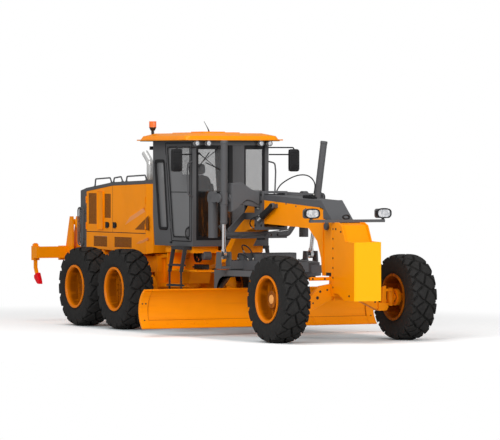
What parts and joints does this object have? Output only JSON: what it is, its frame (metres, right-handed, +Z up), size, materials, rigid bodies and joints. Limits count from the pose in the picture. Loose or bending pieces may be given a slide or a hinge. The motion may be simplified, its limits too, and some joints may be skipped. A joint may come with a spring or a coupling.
{
  "type": "motor grader",
  "caption": "Articulated motor grader: hooded rear frame on twin driven axles, cab and gooseneck front frame, leaning front wheels, turning blade, rear ripper.",
  "frame": {"origin": "on the ground below the middle of the machine's overall box", "axes": "+X forward along the machine, +Y to its left, +Z up"},
  "size_m": [10, 4.27, 3.455],
  "materials": {
    "body_orange": "gloss",
    "rim_orange": "gloss",
    "tyre": "matte",
    "block_yellow": "gloss",
    "blade_orange": "gloss",
    "dark_grey": "satin",
    "rod_chrome": "polished",
    "exhaust_chrome": "polished",
    "engine": "matte",
    "black_plastic": "matte",
    "glass": "clear",
    "lamp": "gloss",
    "amber": "gloss",
    "tooth_red": "satin"
  },
  "bodies": {
    "rear": {"rear_frame": "body_orange", "tandem_axle": "body_orange", "hood_shell": "body_orange", "engine_block": "engine", "exhaust_stack": "exhaust_chrome", "hood_rails": "dark_grey"},
    "front": {"front_frame": "body_orange", "frame_cover": "dark_grey", "push_block": "block_yellow", "saddle": "dark_grey", "cab_shell": "dark_grey", "cab_glass": "glass", "cab_roof": "body_orange", "operator_station": "black_plastic", "ladders": "dark_grey", "mirrors": "black_plastic", "headlight_bar": "dark_grey", "lamp_lenses": "lamp", "beacon": "amber", "front_axle": "body_orange"},
    "wheel_middle_left": {"rim_middle_left": "rim_orange", "tyre_middle_left": "tyre"},
    "wheel_rear_left": {"rim_rear_left": "rim_orange", "tyre_rear_left": "tyre"},
    "lean_left": {"lean_bracket_left": "body_orange"},
    "steer_left": {"knuckle_left": "body_orange"},
    "wheel_front_left": {"rim_front_left": "rim_orange", "tyre_front_left": "tyre"},
    "wheel_middle_right": {"rim_middle_right": "rim_orange", "tyre_middle_right": "tyre"},
    "wheel_rear_right": {"rim_rear_right": "rim_orange", "tyre_rear_right": "tyre"},
    "lean_right": {"lean_bracket_right": "body_orange"},
    "steer_right": {"knuckle_right": "body_orange"},
    "wheel_front_right": {"rim_front_right": "rim_orange", "tyre_front_right": "tyre"},
    "drawbar": {"drawbar": "dark_grey"},
    "circle": {"circle": "dark_grey"},
    "tilt": {"tilt_frame": "body_orange"},
    "blade": {"moldboard": "blade_orange"},
    "pitch_barrel": {"pitch_barrel": "dark_grey"},
    "pitch_rod": {"pitch_rod": "rod_chrome"},
    "lift_barrel_left": {"lift_barrel_left": "dark_grey"},
    "lift_rod_left": {"lift_rod_left": "rod_chrome"},
    "lift_barrel_right": {"lift_barrel_right": "dark_grey"},
    "lift_rod_right": {"lift_rod_right": "rod_chrome"},
    "ripper_arms": {"ripper_arms": "body_orange"},
    "ripper_beam": {"ripper_beam": "body_orange", "ripper_teeth": "tooth_red"},
    "ripper_links": {"ripper_links": "body_orange"},
    "ripper_barrel": {"ripper_barrel": "dark_grey"},
    "ripper_rod": {"ripper_rod": "rod_chrome"},
    "cab_door_left": {"cab_door_left": "dark_grey", "door_glass_left": "glass"},
    "hood_door_rear_left": {"hood_door_rear_left": "body_orange"},
    "hood_door_front_left": {"hood_door_front_left": "body_orange"},
    "cab_door_right": {"cab_door_right": "dark_grey", "door_glass_right": "glass"},
    "hood_door_rear_right": {"hood_door_rear_right": "body_orange"},
    "hood_door_front_right": {"hood_door_front_right": "body_orange"}
  },
  "joints": [
    {"name": "articulation", "type": "hinge", "parent": "rear", "child": "front", "pos_m": [-1.01, 0, 0.96], "axis": [0, 0, 1], "range_deg": [-20, 20]},
    {"name": "roll_middle_left", "type": "hinge", "parent": "rear", "child": "wheel_middle_left", "pos_m": [-1.19, 1.114, 0.669], "axis": [0, 1, 0], "continuous": true},
    {"name": "roll_rear_left", "type": "hinge", "parent": "rear", "child": "wheel_rear_left", "pos_m": [-2.73, 1.114, 0.669], "axis": [0, 1, 0], "continuous": true},
    {"name": "lean_left", "type": "hinge", "parent": "front", "child": "lean_left", "pos_m": [4.2, 0.73, 0.52], "axis": [1, 0, 0], "range_deg": [-18, 18]},
    {"name": "steer_left", "type": "hinge", "parent": "lean_left", "child": "steer_left", "pos_m": [4.2, 0.86, 0.669], "axis": [0, 0, 1], "range_deg": [-45, 45]},
    {"name": "roll_front_left", "type": "hinge", "parent": "steer_left", "child": "wheel_front_left", "pos_m": [4.2, 1.114, 0.669], "axis": [0, 1, 0], "continuous": true},
    {"name": "roll_middle_right", "type": "hinge", "parent": "rear", "child": "wheel_middle_right", "pos_m": [-1.19, -1.114, 0.669], "axis": [0, 1, 0], "continuous": true},
    {"name": "roll_rear_right", "type": "hinge", "parent": "rear", "child": "wheel_rear_right", "pos_m": [-2.73, -1.114, 0.669], "axis": [0, 1, 0], "continuous": true},
    {"name": "lean_right", "type": "hinge", "parent": "front", "child": "lean_right", "pos_m": [4.2, -0.73, 0.52], "axis": [1, 0, 0], "range_deg": [-18, 18]},
    {"name": "steer_right", "type": "hinge", "parent": "lean_right", "child": "steer_right", "pos_m": [4.2, -0.86, 0.669], "axis": [0, 0, 1], "range_deg": [-45, 45]},
    {"name": "roll_front_right", "type": "hinge", "parent": "steer_right", "child": "wheel_front_right", "pos_m": [4.2, -1.114, 0.669], "axis": [0, 1, 0], "continuous": true},
    {"name": "drawbar_lift", "type": "hinge", "parent": "front", "child": "drawbar", "pos_m": [3.8, 0, 1.1], "axis": [0, 1, 0], "range_deg": [-18, 8]},
    {"name": "circle_turn", "type": "hinge", "parent": "drawbar", "child": "circle", "pos_m": [1.94, 0, 1], "axis": [0, 0, 1], "range_deg": [-40, 40]},
    {"name": "blade_pitch", "type": "hinge", "parent": "circle", "child": "tilt", "pos_m": [1.255, 0, 0.3], "axis": [0, 1, 0], "range_deg": [-5, 35]},
    {"name": "blade_shift", "type": "slide", "parent": "tilt", "child": "blade", "axis": [0, -1, 0], "range_m": [-0.6, 0.6]},
    {"name": "pitch_barrel_turn", "type": "hinge", "parent": "circle", "child": "pitch_barrel", "pos_m": [2.15, 0, 0.88], "axis": [0, 1, 0], "range_deg": [-8.6, 1.4]},
    {"name": "pitch_rod_slide", "type": "slide", "parent": "pitch_barrel", "child": "pitch_rod", "axis": [-0.9994, 0, -0.0335], "range_m": [-0.315, 0.048]},
    {"name": "lift_barrel_turn_left", "type": "hinge", "parent": "front", "child": "lift_barrel_left", "pos_m": [1.86, 0.848, 2.2], "axis": [0, 1, 0], "range_deg": [-3.8, 1.8]},
    {"name": "lift_rod_slide_left", "type": "slide", "parent": "lift_barrel_left", "child": "lift_rod_left", "axis": [-0.1305, -0.0631, -0.9894], "range_m": [-0.29, 0.65]},
    {"name": "lift_barrel_turn_right", "type": "hinge", "parent": "front", "child": "lift_barrel_right", "pos_m": [1.86, -0.848, 2.2], "axis": [0, 1, 0], "range_deg": [-3.8, 1.8]},
    {"name": "lift_rod_slide_right", "type": "slide", "parent": "lift_barrel_right", "child": "lift_rod_right", "axis": [-0.1305, 0.0631, -0.9894], "range_m": [-0.29, 0.65]},
    {"name": "ripper_lower", "type": "hinge", "parent": "rear", "child": "ripper_arms", "pos_m": [-4.08, 0, 0.8], "axis": [0, -1, 0], "range_deg": [0, 65]},
    {"name": "ripper_level", "type": "hinge", "parent": "ripper_arms", "child": "ripper_beam", "pos_m": [-4.64, 0, 1.12], "axis": [0, -1, 0], "range_deg": [-65, 0]},
    {"name": "ripper_link_turn", "type": "hinge", "parent": "rear", "child": "ripper_links", "pos_m": [-4.075, 0, 1.42], "axis": [0, -1, 0], "range_deg": [0, 65]},
    {"name": "ripper_barrel_turn", "type": "hinge", "parent": "rear", "child": "ripper_barrel", "pos_m": [-4.085, 0, 1.42], "axis": [0, -1, 0], "range_deg": [0, 8]},
    {"name": "ripper_rod_slide", "type": "slide", "parent": "ripper_barrel", "child": "ripper_rod", "axis": [-0.3984, 0, -0.9172], "range_m": [0, 0.26]},
    {"name": "cab_door_left", "type": "hinge", "parent": "front", "child": "cab_door_left", "pos_m": [-0.29, 0.7075, 1.49], "axis": [-0.1432, 0, 0.9897], "range_deg": [0, 80]},
    {"name": "hood_door_rear_left", "type": "hinge", "parent": "rear", "child": "hood_door_rear_left", "pos_m": [-3.79, 0.6075, 1.9], "axis": [0, 0, 1], "range_deg": [0, 95]},
    {"name": "hood_door_front_left", "type": "hinge", "parent": "rear", "child": "hood_door_front_left", "pos_m": [-1.475, 0.6075, 1.9], "axis": [0, 0, -1], "range_deg": [0, 90]},
    {"name": "cab_door_right", "type": "hinge", "parent": "front", "child": "cab_door_right", "pos_m": [-0.29, -0.7075, 1.49], "axis": [0.1432, 0, -0.9897], "range_deg": [0, 80]},
    {"name": "hood_door_rear_right", "type": "hinge", "parent": "rear", "child": "hood_door_rear_right", "pos_m": [-3.79, -0.6075, 1.9], "axis": [0, 0, -1], "range_deg": [0, 95]},
    {"name": "hood_door_front_right", "type": "hinge", "parent": "rear", "child": "hood_door_front_right", "pos_m": [-1.475, -0.6075, 1.9], "axis": [0, 0, 1], "range_deg": [0, 90]}
  ],
  "couplings": [
    {"joint": "lean_right", "follows": "lean_left", "ratio": 1},
    {"joint": "steer_right", "follows": "steer_left", "ratio": 1},
    {"joint": "pitch_barrel_turn", "follows": "blade_pitch", "ratio": -0.24},
    {"joint": "pitch_rod_slide", "follows": "blade_pitch", "m_per_rad": -0.5098},
    {"joint": "lift_barrel_turn_left", "follows": "drawbar_lift", "ratio": 0.205},
    {"joint": "lift_rod_slide_left", "follows": "drawbar_lift", "m_per_rad": -2.0548},
    {"joint": "lift_barrel_turn_right", "follows": "drawbar_lift", "ratio": 0.205},
    {"joint": "lift_rod_slide_right", "follows": "drawbar_lift", "m_per_rad": -2.0548},
    {"joint": "ripper_level", "follows": "ripper_lower", "ratio": -1},
    {"joint": "ripper_link_turn", "follows": "ripper_lower", "ratio": 1},
    {"joint": "ripper_barrel_turn", "follows": "ripper_lower", "ratio": 0.12},
    {"joint": "ripper_rod_slide", "follows": "ripper_lower", "m_per_rad": 0.2253}
  ]
}
